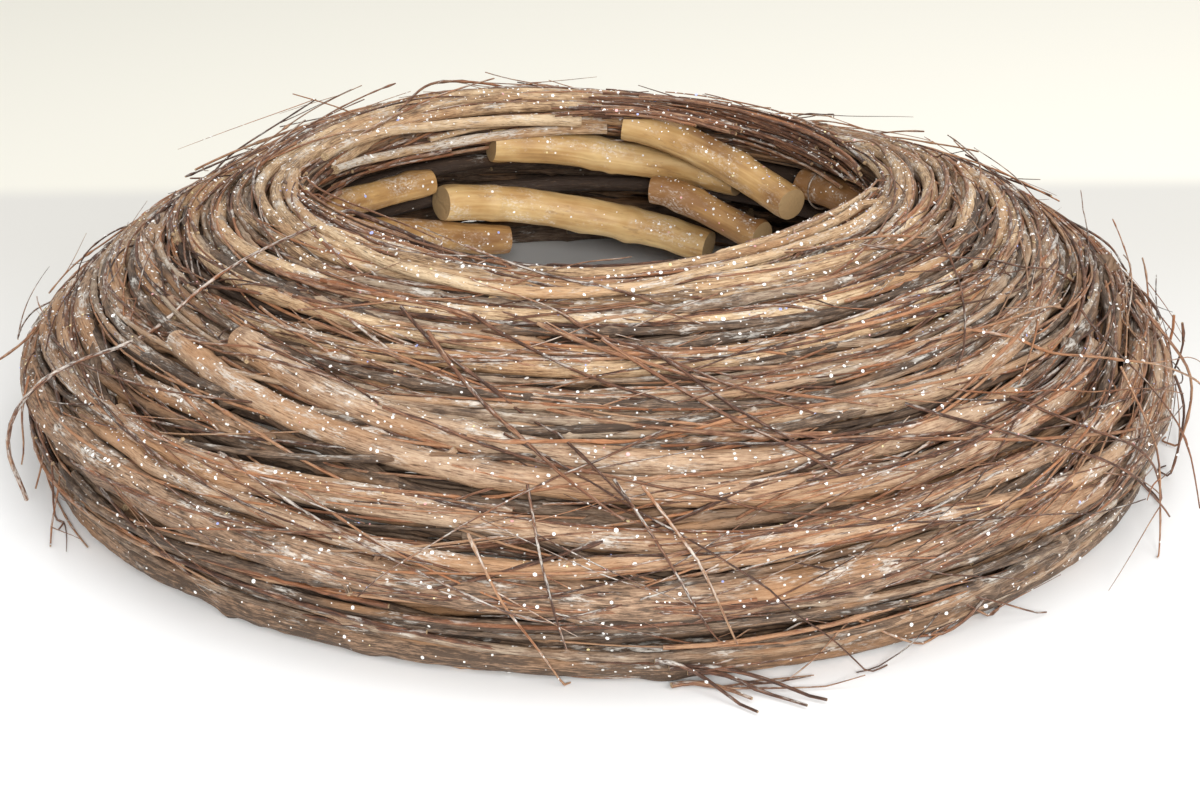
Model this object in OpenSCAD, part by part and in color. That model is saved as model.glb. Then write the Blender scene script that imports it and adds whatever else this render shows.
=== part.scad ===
// Brushwood wreath frame: a domed ring of bark-covered rods and loose twigs around an inner wall of
// peeled canes. It stands on the plane z = 0 with the ring's axis on Z and its front towards -Y.
// Angles around the ring are in degrees, counter-clockwise from +X.

/* [Ring] */
// Diameter across the widest rod
ring_d = 400; // [390:5:410]
// Diameter of the circle on which the ring stands
foot_d = 380; // [374:2:384]
// Diameter of the circle along the crest
crest_d = 210; // [206:1:214]
// Height of the crest
crest_h = 88; // [86:1:92]
// Height at which the ring is widest
belt_h = 28; // [27:1:30]
// Shape of the shoulder: 1 is an ellipse, 2 is a straight slope
shoulder = 1.38; // [1.3:0.02:1.5]
// Space between rods that lie side by side
rod_gap = 0.4; // [0.3:0.1:0.6]

/* [Rods] */
// Diameter of the thick rods at the foot and at the belt
thick_d = 10.4; // [9.6:0.2:10.8]
// Diameter of the two rods that sweep across the front
sweep_d = 8.2; // [7.6:0.2:8.6]
// Diameter of the rods on the shoulder
shoulder_d = 7; // [6.4:0.2:7.4]
// Diameter of the medium rods above the belt
medium_d = 6; // [5.6:0.2:6.4]
// Diameter of the rods near the crest
crown_d = 5; // [4.6:0.2:5.4]
// Diameter of the thin rods that form the rim of the hole
rim_d = 4.2; // [3.8:0.2:4.6]
// Diameter of the hidden rods that carry the outer layer
core_d = 9; // [8:0.5:9.5]

/* [Brushwood] */
// Thickness of a thick bundle of twigs
bundle_thick = 6.4; // [6:0.2:6.8]
// Thickness of a thin bundle of twigs
bundle_thin = 4.4; // [4:0.2:4.8]
// Diameter of a stray twig
stray_d = 1.6; // [1.2:0.2:2]
// How far a stray twig stands out from the ring
stray_reach = 12; // [8:1:14]

/* [Inner wall] */
// Diameter of the peeled canes
cane_d = 14; // [13:0.5:14]
// Diameter of the thinner canes that lean against them
leaning_d = 12; // [11:0.5:12.5]
// Diameter of the short cane that leans across the wall
brace_d = 11; // [10:0.5:11]
// Diameter of the hoops behind the canes
hoop_d = 6; // [5:0.5:6.5]
// Diameter of the tie wire
wire_d = 0.7; // [0.6:0.1:0.8]

/* [Hidden] */
$fn = 64;
ring_r = ring_d / 2;
foot_r = foot_d / 2;
crest_r = crest_d / 2;
// The lip is where the rim rods turn down into the hole
lip_w = 8;
lip_drop = 10;
// Step of the search that lays the next rod beside the last one, in degrees along the outline
search_step = 0.25;
// Share of a bundle's thickness that each of its four twigs takes
twig_share = 0.41;
// Angle between the starts of a bundle's four twigs
twig_lag = 23;

// The outer layer from the foot over the shoulder to the lip, each rod or bundle beside the last:
// name, kind, thickness, angle at which it starts, angle that it sweeps, true if it continues the last row
OUTER = [
    ["base_rod", "brown", thick_d, 118, 344, false],
    ["brushwood_1", "twigs", bundle_thick, 10, 280, false],
    ["brushwood_2", "twigs", bundle_thick, 150, 280, false],
    ["belt_rod_1", "brown", thick_d, 152, 342, false],
    ["belt_rod_2", "brown", medium_d, 205, 338, false],
    ["belt_rod_3", "brown", medium_d, 28, 341, false],
    ["flank_rod_1", "brown", sweep_d, 350, 222, false],
    ["flank_rod_3", "brown", medium_d, 215, 48, true],
    ["flank_rod_2", "brown", sweep_d, 354, 214, false],
    ["flank_rod_4", "brown", medium_d, 211, 26, true],
    ["brushwood_3", "twigs", bundle_thick, 348, 155, false],
    ["shoulder_rod_1", "brown", shoulder_d, 272, 69, false],
    ["shoulder_rod_3", "brown", shoulder_d, 347, 220, true],
    ["brushwood_4", "twigs", bundle_thin, 262, 238, false],
    ["shoulder_rod_2", "brown", shoulder_d, 244, 326, false],
    ["brushwood_5", "twigs", bundle_thin, 240, 250, false],
    ["crown_rod_1", "honey", crown_d, 211, 340, false],
    ["crown_rod_2", "honey", crown_d, 75, 338, false],
    ["brushwood_6", "twigs", bundle_thin, 330, 290, false],
    ["crown_rod_3", "honey", crown_d, 168, 336, false],
    ["brushwood_7", "twigs", bundle_thin, 90, 290, false],
    ["rim_rod_1", "honey", rim_d, 255, 340, false],
    ["rim_rod_2", "honey", rim_d, 35, 338, false],
    ["rim_rod_3", "honey", rim_d, 130, 342, false],
    ["lip_rod_1", "honey", rim_d, 300, 335, false],
    ["lip_rod_2", "honey", rim_d, 190, 330, false]
];

// The two rods that sweep down across the front, each a bent rod whose centre is moved and tilted:
// name, path radius, height, shift of the centre, tilt, angle at which it starts, angle that it sweeps
SWEEPS = [
    ["sweep_rod_1", ring_r - 40.2, 62.9, 20.7, 5.4, -91, 131],
    ["sweep_rod_2", ring_r - 50.6, 70.2, 24, 6.5, -83, 112]
];
// Direction in which the sweeping rods lie lowest
sweep_low_side = 300;

// The peeled canes of the inner wall, cut square and overlapping like logs:
// name, angle of the middle, angle that it sweeps, height of the middle, tilt, diameter, inset
CANES = [
    ["lower_cane_1", 12, 50, 28, 0, cane_d, 0],
    ["lower_cane_2", 129.5, 41, 37.4, 15, leaning_d, 0],
    ["lower_cane_3", 192, 56, 28, 3, cane_d, 0],
    ["lower_cane_4", 253, 58, 28, 3, cane_d, 0],
    ["lower_cane_5", 314, 56, 28, 3, cane_d, 0],
    ["middle_cane_1", 12, 42, 45, 2, cane_d, 0],
    ["middle_cane_2", 93.7, 61.5, 38.6, 12.4, cane_d, 0],
    ["middle_cane_3", 201, 54, 47, 5, cane_d, 0],
    ["middle_cane_4", 262, 58, 47, 5, cane_d, 0],
    ["middle_cane_5", 322, 54, 47, 5, cane_d, 0],
    ["upper_cane_1", 58.3, 46.5, 65.5, 14.5, leaning_d, 11],
    ["upper_cane_2", 84, 56, 62, 8, leaning_d, 0],
    ["upper_cane_3", 149, 44, 59.5, 2, brace_d, 0],
    ["upper_cane_4", 216, 60, 66, 5, cane_d, 0],
    ["upper_cane_5", 280, 58, 66, 5, cane_d, 0],
    ["upper_cane_6", 0, 76, 65.4, -3, leaning_d, 0],
    ["brace_cane", 59.5, 30, 46.3, 16.5, brace_d, 11.5]
];
// How far the canes' centre lines lie inside the crest
cane_step_in = 1;
cane_r = crest_r - cane_step_in;

// Hoops behind the canes, one at the height of each tier
HOOP_HEIGHTS = [28.5, 47, 59.5];
hoop_r = cane_r + (cane_d + hoop_d) / 2 + rod_gap;

// Hidden rods under the outer layer: where each lies along the outline, in degrees
CORE_PLACES = [-38, 8, 30, 45, 58];
// Depth of their skin below the outline
core_depth = thick_d + rod_gap;

// A tie holds a cane this far from its ends, in degrees, if a hoop is within its reach
tie_inset = 6;
tie_reach = 4;
// The canes at the back are wedged between the hoops and the rim: no tie this near to their middle
wedged_middle = 95;
wedged_reach = 60;
// Space between a tie and the cane in it, and how far past the hoop the loop reaches
tie_space = 0.1;
tie_slack = 1;
tie_loop_r = (cane_d + wire_d) / 2 + tie_space;
tie_length = hoop_r - cane_r - (cane_d - hoop_d) / 2 + tie_slack;

// Height of the stray twigs above the belt, their own bend, the angle from root to the widest point
// and the angle past it to the free end
stray_rise = 9;
stray_bend_r = 150;
stray_root = 44;
stray_tip = 8;
STRAY_ANGLES = [for (quarter = [0:3]) quarter * 90];

// Outline of the ring's cross-section as [radius, height]: -90 is the foot, 0 the belt, 90 the
// crest, and past 90 it turns down into the hole
function outline(t) =
    t < 0 ? [foot_r + (ring_r - foot_r) * cos(t), belt_h * (1 + sin(t))]
    : t <= 90 ? [crest_r + (ring_r - crest_r) * pow(cos(t), shoulder),
                 belt_h + (crest_h - belt_h) * pow(sin(t), shoulder)]
    : [crest_r - lip_w * sin(t - 90), crest_h - lip_drop * (1 - cos(t - 90))];

// Direction out of the ring, square to the outline
function outward(t) =
    let (along = outline(min(t + 0.5, 179)) - outline(max(t - 0.5, -90)))
    [along[1], -along[0]] / norm(along);

// Centre of a rod of radius rad whose skin lies depth below the outline
function seat(t, rad, depth = 0) = outline(t) - (rad + depth) * outward(t);

// First place along the outline where a rod of radius rad clears the last one by need
function next_place(t, last, rad, need) =
    norm(seat(t, rad) - last) >= need ? t : next_place(t + search_step, last, rad, need);

// Centres of the whole outer layer, laid one beside the other; last_row is the last that starts a row
function lay(i = 0, t = -90, laid = [], last_row = 0) =
    i == len(OUTER) ? laid
    : let (
        rad = OUTER[i][2] / 2,
        need = i == 0 ? 0 : OUTER[last_row][2] / 2 + rad + rod_gap,
        here = i == 0 || OUTER[i][5] ? t : next_place(t, laid[last_row], rad, need)
    )
    lay(i + 1, here, concat(laid, [i == 0 ? [foot_r, rad] : seat(here, rad)]),
        OUTER[i][5] ? last_row : i);

OUTER_SEATS = lay();

// Height of a tilted cane at an angle from its middle
function cane_height(cane, from_middle) =
    cane[3] + cane_r * sin(from_middle) * sin(cane[4]);

// Where the ties go: cane, angle from its middle
TIES = [
    for (cane = CANES)
        for (end = [-1, 1])
            let (from_middle = end * (cane[2] / 2 - tie_inset))
            for (level = HOOP_HEIGHTS)
                if (abs(cane_height(cane, from_middle) - level) < tie_reach
                    && abs(cane[1] - wedged_middle) > wedged_reach)
                    [cane, from_middle]
];

// A rod bent to a circle of radius path_r, from angle from over angle sweep
module bent_rod(path_r, rad, from, sweep) {
    rotate([0, 0, from])
        rotate_extrude(angle = sweep)
            translate([path_r, 0])
                circle(r = rad);
}

// A bundle of four twigs, one at each quarter of its section, each starting a little further round
module bundle(centre, thickness, from, sweep) {
    twig_r = thickness * twig_share / 2;
    spread = thickness / 2 - twig_r;
    for (i = [0:3])
        translate([0, 0, centre[1] + spread * sin(i * 90)])
            bent_rod(centre[0] + spread * cos(i * 90), twig_r, from + i * twig_lag, sweep);
}

// One row of the outer layer: a single brown or honey-coloured rod, or a bundle of twigs
module outer_piece(i) {
    row = OUTER[i];
    centre = OUTER_SEATS[i];
    if (row[1] == "twigs")
        color("sienna")
            bundle(centre, row[2], row[3], row[4]);
    else
        color(row[1] == "honey" ? "peru" : "rosybrown")
            translate([0, 0, centre[1]])
                bent_rod(centre[0], row[2] / 2, row[3], row[4]);
}

module sweep_rod(row) {
    color("rosybrown")
        rotate([0, 0, sweep_low_side])
            translate([row[3], 0, row[2]])
                rotate([0, row[4], 0])
                    bent_rod(row[1], sweep_d / 2, row[5], row[6]);
}

module inner_base_rod() {
    color("rosybrown")
        translate([0, 0, thick_d / 2])
            bent_rod(foot_r - thick_d - 2 * rod_gap, thick_d / 2, 320, 338);
}

module core_rod(i) {
    centre = seat(CORE_PLACES[i - 1], core_d / 2, core_depth);
    color("saddlebrown")
        translate([0, 0, centre[1]])
            bent_rod(centre[0], core_d / 2, i * 67, 325);
}

// Puts its children where a cane's middle is, tilted with it
module at_cane(cane) {
    rotate([0, 0, cane[1]])
        translate([0, 0, cane[3]])
            rotate([cane[4], 0, 0])
                children();
}

module cane_piece(cane) {
    color("burlywood")
        at_cane(cane)
            bent_rod(cane_r - cane[6], cane[5] / 2, -cane[2] / 2, cane[2]);
}

module cane_hoop(i) {
    color("tan")
        translate([0, 0, HOOP_HEIGHTS[i - 1]])
            bent_rod(hoop_r, hoop_d / 2, i * 110, 345);
}

// A loop of wire around a cane and the hoop behind it
module tie() {
    wire_r = wire_d / 2;
    rotate([90, 0, 0]) {
        bent_rod(tie_loop_r, wire_r, 90, 180);
        translate([tie_length, 0, 0])
            bent_rod(tie_loop_r, wire_r, -90, 180);
    }
    for (side = [-1, 1])
        translate([0, 0, side * tie_loop_r])
            rotate([0, 90, 0])
                cylinder(r = wire_r, h = tie_length);
}

module tie_wires() {
    color("silver")
        for (place = TIES)
            at_cane(place[0])
                rotate([0, 0, place[1]])
                    translate([cane_r, 0, 0])
                        tie();
}

// Twigs that spring from the edge, bow outwards and end free
module stray_twigs() {
    bend_offset = ring_r + stray_reach - stray_bend_r - stray_d / 2;
    color("sienna")
        for (angle = STRAY_ANGLES)
            rotate([0, 0, angle])
                translate([bend_offset, 0, belt_h + stray_rise])
                    bent_rod(stray_bend_r, stray_d / 2, -stray_root, stray_root + stray_tip);
}

for (i = [0:len(OUTER) - 1])
    outer_piece(i);
for (row = SWEEPS)
    sweep_rod(row);
inner_base_rod();
for (i = [1:len(CORE_PLACES)])
    core_rod(i);
for (cane = CANES)
    cane_piece(cane);
for (i = [1:len(HOOP_HEIGHTS)])
    cane_hoop(i);
tie_wires();
stray_twigs();
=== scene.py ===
"""Looks of the brushwood wreath frame: natural bark rods, peeled canes, fine twigs, binding wire and glitter.

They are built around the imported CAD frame. Lengths are in metres unless a name or comment says otherwise.
A place on the ring is given by its angle around the Z axis, by how far it lies along the ring's cross-section
from the foot over the shoulder to the lip of the hole (along), and by its height above the outer skin there
(proud)."""

import math
import zlib

import bpy
import numpy as np
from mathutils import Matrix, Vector


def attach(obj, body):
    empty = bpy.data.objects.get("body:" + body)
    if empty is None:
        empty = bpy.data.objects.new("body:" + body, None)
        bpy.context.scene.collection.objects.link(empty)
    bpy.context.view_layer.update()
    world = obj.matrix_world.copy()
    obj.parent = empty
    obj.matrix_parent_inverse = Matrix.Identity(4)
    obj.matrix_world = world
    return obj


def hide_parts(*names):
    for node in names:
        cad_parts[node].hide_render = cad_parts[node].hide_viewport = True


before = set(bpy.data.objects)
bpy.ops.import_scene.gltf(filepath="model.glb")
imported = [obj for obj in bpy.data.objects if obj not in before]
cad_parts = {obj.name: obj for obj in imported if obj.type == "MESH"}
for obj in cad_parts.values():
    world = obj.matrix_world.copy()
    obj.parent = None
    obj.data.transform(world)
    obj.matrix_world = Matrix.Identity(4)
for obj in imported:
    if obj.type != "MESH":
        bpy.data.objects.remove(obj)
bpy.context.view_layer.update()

MM = 0.001
TURN = 2 * math.pi
OUTER_KINDS = ("base", "belt", "flank", "sweep", "shoulder", "crown", "rim", "lip")
HIDDEN_NODES = [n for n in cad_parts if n.startswith("core_rod") or n == "inner_base_rod"]
HOOP_NODES = [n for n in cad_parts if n.startswith("cane_hoop")]
CANE_NODES = [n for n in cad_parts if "_cane" in n]
ROD_NODES = [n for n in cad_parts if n.split("_")[0] in OUTER_KINDS and "inner" not in n]
BUNDLE_NODES = [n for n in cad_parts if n.startswith("brushwood")]


def dice(name):
    """A random generator for one piece, so that a change to one piece leaves the others as they are."""
    return np.random.default_rng(zlib.crc32(name.encode()))


def wander(rng, size, slowest=2, fastest=10):
    """A smooth random function of the angle around the ring, with a spread of size."""
    waves = np.arange(slowest, fastest)
    shares = rng.normal(0, 1, len(waves)) / waves**0.8
    shares *= size / math.sqrt(np.sum(shares**2) / 2)
    phases = rng.uniform(0, TURN, len(waves))
    return lambda angle: np.cos(np.multiply.outer(angle, waves) + phases) @ shares


def kinks(rng, count, step, spacing, size):
    """Offsets of a crooked line: straight runs about spacing long that meet at slight angles."""
    bends = np.sort(rng.uniform(0, count, max(3, int(count * step / spacing))))
    return blurred(np.interp(np.arange(count), bends, rng.normal(0, size, len(bends))), 2)


def blurred(values, width):
    """values along a strand, averaged over about width samples either way."""
    reach = int(3 * width) + 1
    weights = np.exp(-0.5 * (np.arange(-reach, reach + 1) / width) ** 2)
    padded = np.pad(values, reach, mode="edge")
    return np.convolve(padded, weights / weights.sum(), mode="valid")


# A natural ring is not quite round or level: angle in degrees, wider and higher there by so many percent
SETTLING = (
    (0, 2.0, 2), (20, 1.0, 1), (45, -0.5, -9), (75, 0.0, -3), (100, 0.0, 1),
    (125, 0.5, 5), (155, 0.0, -3), (185, 0.5, 0), (210, -2.5, 0), (235, -3.5, 0),
    (260, -2.0, 0), (290, 0.8, 1), (315, 1.0, 0), (340, 0.8, 1),
)


def all_round(degrees, shares):
    """A smooth closed curve of shares over the angle around the ring, as a function."""
    fine = np.arange(-360, 720, 2.0)
    smooth = blurred(np.interp(fine, degrees, shares, period=360), 6)
    return lambda angle: np.interp(angle, fine, smooth)


settling_degrees, settling_wider, settling_higher = np.array(SETTLING, dtype=float).T
wider_at = all_round(settling_degrees, 0.01 * settling_wider)
higher_at = all_round(settling_degrees, 0.01 * settling_higher)


def settled(spots):
    """spots moved from the even CAD ring to where the natural, uneven ring has them."""
    degrees = np.degrees(np.arctan2(spots[..., 1], spots[..., 0]))
    moved = spots.copy()
    moved[..., :2] *= 1 + wider_at(degrees)[..., None]
    moved[..., 2] *= 1 + higher_at(degrees)
    return moved


# ---------------------------------------------------------------- what the CAD frame says


class CadRod:
    """The centre line and thickness of one bent CAD rod, read from its mesh."""

    def __init__(self, node):
        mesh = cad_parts[node].data
        spots = np.empty(len(mesh.vertices) * 3)
        mesh.vertices.foreach_get("co", spots)
        spots = spots.reshape(-1, 3)
        angles = np.arctan2(spots[:, 1], spots[:, 0]) % TURN
        in_order = np.sort(angles)
        gaps = np.diff(np.append(in_order, in_order[0] + TURN))
        self.first = in_order[(np.argmax(gaps) + 1) % len(in_order)]
        self.sweep = TURN - gaps.max()
        turned = (angles - self.first) % TURN
        turned[turned > self.sweep + 1e-4] = 0
        radii = np.hypot(spots[:, 0], spots[:, 1])
        self._radius = np.polynomial.Polynomial.fit(turned, radii, 4)
        self._height = np.polynomial.Polynomial.fit(turned, spots[:, 2], 4)
        aside = np.hypot(radii - self._radius(turned), spots[:, 2] - self._height(turned))
        self.rad = float(np.percentile(aside, 90))

    def line(self, step):
        """Angles, radii and heights of the centre line, about step apart."""
        count = max(8, int(self.sweep * self._radius(0) / step))
        turned = np.linspace(0, self.sweep, count)
        return self.first + turned, self._radius(turned), self._height(turned)


cad_rods = {n: CadRod(n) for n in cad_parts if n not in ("tie_wires", "stray_twigs")}


class Section:
    """The skin of the ring's cross-section, as a curve over the outsides of the CAD's outer rods."""

    MIDDLE = (0.120, 0.025)
    STEP = 0.5 * MM
    RUN_ON = 14 * MM

    def __init__(self):
        rows = []
        for node in ROD_NODES + BUNDLE_NODES:
            if not node.startswith("sweep"):
                rod = cad_rods[node]
                _, radius, height = rod.line(0.02)
                rows.append((radius.mean(), height.mean(), rod.rad))
        rows.sort(key=lambda row: math.atan2(row[1] - self.MIDDLE[1], row[0] - self.MIDDLE[0]))
        rows = np.array(rows)
        rows = rows[np.append(True, np.hypot(*np.diff(rows[:, :2], axis=0).T) > 2 * MM)]
        centres = rows[:, :2]
        ahead = np.gradient(centres, axis=0)
        ahead /= np.linalg.norm(ahead, axis=1)[:, None]
        out = np.stack([ahead[:, 1], -ahead[:, 0]], axis=1)
        skin = centres + out * rows[:, 2:3]
        skin = np.vstack([skin[0] - ahead[0] * self.RUN_ON, skin, skin[-1] + ahead[-1] * self.RUN_ON])
        lengths = np.append(0, np.cumsum(np.hypot(*np.diff(skin, axis=0).T)))
        self.along = np.arange(0, lengths[-1], self.STEP)
        smooth = 4 * MM / self.STEP
        self.radius = blurred(np.interp(self.along, lengths, skin[:, 0]), smooth)
        self.height = blurred(np.interp(self.along, lengths, skin[:, 1]), smooth)
        slope = np.stack([np.gradient(self.radius), np.gradient(self.height)], axis=1)
        slope /= np.linalg.norm(slope, axis=1)[:, None]
        self.out = np.stack([slope[:, 1], -slope[:, 0]], axis=1)
        self.length = self.along[-1]

    def find(self, radius, height):
        """How far along, and how proud, points of the cross-section lie."""
        away = np.hypot(radius[:, None] - self.radius, height[:, None] - self.height)
        near = away.argmin(axis=1)
        offset = np.stack([radius - self.radius[near], height - self.height[near]], axis=1)
        return self.along[near], np.sum(offset * self.out[near], axis=1)

    def spot(self, angle, along, proud):
        """The points in space at these places on the ring."""
        radius = np.interp(along, self.along, self.radius)
        height = np.interp(along, self.along, self.height)
        radius = radius + proud * np.interp(along, self.along, self.out[:, 0])
        height = height + proud * np.interp(along, self.along, self.out[:, 1])
        return np.stack([radius * np.cos(angle), radius * np.sin(angle), height], axis=-1)


section = Section()

# ---------------------------------------------------------------- strands into meshes


def frames_along(path):
    """Unit tangents and two unit normals along a path, carried along without twist."""
    ahead = np.gradient(path, axis=0)
    ahead /= np.linalg.norm(ahead, axis=1)[:, None]
    side = np.cross(ahead[0], (0.0, 0.0, 1.0))
    if np.linalg.norm(side) < 0.1:
        side = np.cross(ahead[0], (1.0, 0.0, 0.0))
    sides = np.empty_like(path)
    for i, t in enumerate(ahead):
        side = side - t * (side @ t)
        side /= math.sqrt(side @ side)
        sides[i] = side
    return ahead, sides, np.cross(ahead, sides)


# Nothing goes into the table, or far above the ring
LOWEST, HIGHEST = 0.02 * MM, 99.5 * MM


class Strands:
    """Round strands of wood that become one mesh, with the attributes that the materials read:
    rod is the place in the straightened strand, tone its shade, frost its whiteness, cut its bare ends."""

    def __init__(self, name):
        self.name = name
        self.spots, self.quads, self.tris = [], [], []
        self.rod, self.looks = [], []
        self.skins = []
        self.count = 0

    def add(self, path, rads, sides=6, tone=0.5, frost=0.3, relief=None, offset=0.0, settle=True):
        """One strand along path, of radius rads, with relief as shares of it for each ring and side."""
        even = path
        path = settled(path) if settle else path
        ahead, across, up = frames_along(path)
        turn = np.arange(sides) * TURN / sides
        spokes = across[:, None] * np.cos(turn)[:, None] + up[:, None] * np.sin(turn)[:, None]
        shape = rads[:, None] * (1 if relief is None else relief) * np.ones(sides)
        rings = path[:, None] + spokes * shape[..., None]
        rings[..., 2] = np.clip(rings[..., 2], LOWEST, HIGHEST)
        run = np.append(0, np.cumsum(np.linalg.norm(np.diff(path, axis=0), axis=1))) + offset
        round_rod = np.stack([np.cos(turn), np.sin(turn)], axis=1) * rads.mean()
        across_rod = np.broadcast_to(round_rod, (len(path), sides, 2))
        along_rod = np.repeat(run[:, None, None], sides, 1)
        place = np.concatenate([across_rod, along_rod], axis=2)
        here = np.arange(len(path) * sides).reshape(len(path), sides) + self.count
        beside = np.roll(here, -1, axis=1)
        self.quads.append(np.stack([here[:-1], beside[:-1], beside[1:], here[1:]], axis=-1).reshape(-1, 4))
        look = np.broadcast_to((tone, frost, 0.0), (len(path) * sides, 3))
        self._keep(rings.reshape(-1, 3), place.reshape(-1, 3), look)
        self.skins.append((rings, spokes, even[:, None] + spokes * shape[..., None]))
        for end, order in ((0, -1), (-1, 1)):
            self._cap(rings[end], path[end] + ahead[end] * order * rads[end] * 0.06, place[end], order, tone)

    def _keep(self, spots, place, look):
        self.spots.append(spots)
        self.rod.append(place)
        self.looks.append(look)
        self.count += len(spots)

    def _cap(self, ring, middle, place, order, tone):
        sides = len(ring)
        here = np.arange(sides) + self.count
        beside = np.roll(here, -1)
        centre = np.full(sides, self.count + sides)
        corners = (here, beside, centre) if order > 0 else (beside, here, centre)
        self.tris.append(np.stack(corners, axis=1))
        middle_place = place.mean(axis=0)
        look = np.broadcast_to((tone, 0.0, 1.0), (sides + 1, 3))
        self._keep(np.vstack([ring, middle]), np.vstack([place, middle_place]), look)

    def build(self, material, slot, nodes=()):
        """Makes the mesh object with its material and says what it rides on and what it replaces; slot is not
        used.
        """
        quads = np.concatenate(self.quads)
        tris = np.concatenate(self.tris)
        spots = np.concatenate(self.spots)
        mesh = bpy.data.meshes.new(self.name)
        mesh.vertices.add(len(spots))
        mesh.vertices.foreach_set("co", spots.astype(np.float32).ravel())
        corners = np.concatenate([quads.ravel(), tris.ravel()])
        mesh.loops.add(len(corners))
        mesh.loops.foreach_set("vertex_index", corners.astype(np.int32))
        sizes = np.concatenate([np.full(len(quads), 4), np.full(len(tris), 3)])
        mesh.polygons.add(len(sizes))
        mesh.polygons.foreach_set("loop_start", (np.cumsum(sizes) - sizes).astype(np.int32))
        mesh.polygons.foreach_set("loop_total", sizes.astype(np.int32))
        mesh.polygons.foreach_set("use_smooth", np.ones(len(sizes), dtype=bool))
        mesh.update(calc_edges=True)
        rod = mesh.attributes.new("rod", "FLOAT_VECTOR", "POINT")
        rod.data.foreach_set("vector", np.concatenate(self.rod).astype(np.float32).ravel())
        for i, word in enumerate(("tone", "frost", "cut")):
            values = mesh.attributes.new(word, "FLOAT", "POINT")
            values.data.foreach_set("value", np.concatenate(self.looks)[:, i].astype(np.float32))
        piece = bpy.data.objects.new(self.name, mesh)
        bpy.context.scene.collection.objects.link(piece)
        mesh.materials.append(material)
        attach(piece, "root")
        if nodes:
            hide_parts(*nodes)
        return piece


# ---------------------------------------------------------------- materials


class Shader:
    """Builds one node material, with short calls for the nodes that it needs."""

    def __init__(self, name):
        self.material = bpy.data.materials.new(name)
        self.material.use_nodes = True
        self.tree = self.material.node_tree
        self.surface = self.tree.nodes["Principled BSDF"]

    def node(self, kind, **inputs):
        made = self.tree.nodes.new(kind)
        for key, value in inputs.items():
            if isinstance(value, bpy.types.NodeSocket):
                self.tree.links.new(value, made.inputs[key.replace("_", " ")])
            else:
                made.inputs[key.replace("_", " ")].default_value = value
        return made

    def attribute(self, name):
        made = self.tree.nodes.new("ShaderNodeAttribute")
        made.attribute_name = name
        return made

    def stretched(self, vector, scale):
        """vector with each of its three parts scaled, so that a pattern runs along the strand."""
        made = self.node("ShaderNodeVectorMath", **{"Vector": vector})
        made.operation = "MULTIPLY"
        made.inputs[1].default_value = scale
        return made.outputs["Vector"]

    def noise(self, vector, scale, detail=3.0, rough=0.55):
        made = self.node("ShaderNodeTexNoise", Vector=vector, Scale=scale, Detail=detail, Roughness=rough)
        return made.outputs["Fac"]

    def ramp(self, value, stops):
        made = self.node("ShaderNodeValToRGB", Fac=value)
        band = made.color_ramp
        while len(band.elements) < len(stops):
            band.elements.new(0.5)
        for element, (place, colour) in zip(band.elements, stops):
            element.position = place
            element.color = (*colour, 1) if len(colour) == 3 else colour
        return made.outputs["Color"]

    def step(self, value, low, high):
        """0 below low, 1 above high, and smooth between them."""
        made = self.node("ShaderNodeMapRange", Value=value)
        made.interpolation_type = "SMOOTHSTEP"
        made.inputs["From Min"].default_value = low
        made.inputs["From Max"].default_value = high
        return made.outputs["Result"]

    def sum(self, kind, first, second):
        made = self.tree.nodes.new("ShaderNodeMath")
        made.operation = kind
        for socket, value in zip(made.inputs, (first, second)):
            if isinstance(value, bpy.types.NodeSocket):
                self.tree.links.new(value, socket)
            else:
                socket.default_value = value
        return made.outputs[0]

    def about(self, value, gain):
        """How far value is from a half, times gain."""
        return self.sum("MULTIPLY", self.sum("SUBTRACT", value, 0.5), gain)

    def mix(self, share, first, second):
        made = self.tree.nodes.new("ShaderNodeMix")
        made.data_type = "RGBA"
        for key, value in ((0, share), (6, first), (7, second)):
            if isinstance(value, bpy.types.NodeSocket):
                self.tree.links.new(value, made.inputs[key])
            else:
                made.inputs[key].default_value = value if key == 0 else (*value, 1)
        return made.outputs[2]

    def bump(self, height, depth, share=1.0, below=None):
        made = self.node("ShaderNodeBump", Height=height, Distance=depth, Strength=share)
        if below is not None:
            self.tree.links.new(below, made.inputs["Normal"])
        return made.outputs["Normal"]

    def finish(self, colour, rough, normal, **plain):
        for key, value in (("Base Color", colour), ("Roughness", rough), ("Normal", normal)):
            if isinstance(value, bpy.types.NodeSocket):
                self.tree.links.new(value, self.surface.inputs[key])
            elif value is not None:
                self.surface.inputs[key].default_value = value
        for key, value in plain.items():
            self.surface.inputs[key.replace("_", " ")].default_value = value
        return self.material


# Colours of what lies on the wood and of its bare parts, as red, green and blue
FROST_COLOUR = (0.80, 0.77, 0.71)
SPARK_WHITE = (0.93, 0.92, 0.89)
SCAR_BROWN = (0.27, 0.15, 0.065)
CUT_CANE = (0.44, 0.30, 0.155)
# Ramps: place on the ramp and colour there
END_GRAIN = ((0.35, (0.26, 0.16, 0.085)), (0.65, (0.60, 0.44, 0.26)))
HONEY = ((0.15, (0.23, 0.112, 0.040)), (0.5, (0.45, 0.268, 0.102)), (0.85, (0.64, 0.455, 0.215)))
RUSTY_GREY = ((0.35, (0.16, 0.10, 0.07)), (0.65, (0.38, 0.34, 0.30)))
FOIL_COLOURS = (
    (0.0, (0.95, 0.94, 0.92)),
    (0.90, (0.42, 0.48, 0.88)),
    (0.93, (0.80, 0.42, 0.42)),
    (0.95, (0.88, 0.76, 0.42)),
)


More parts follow.
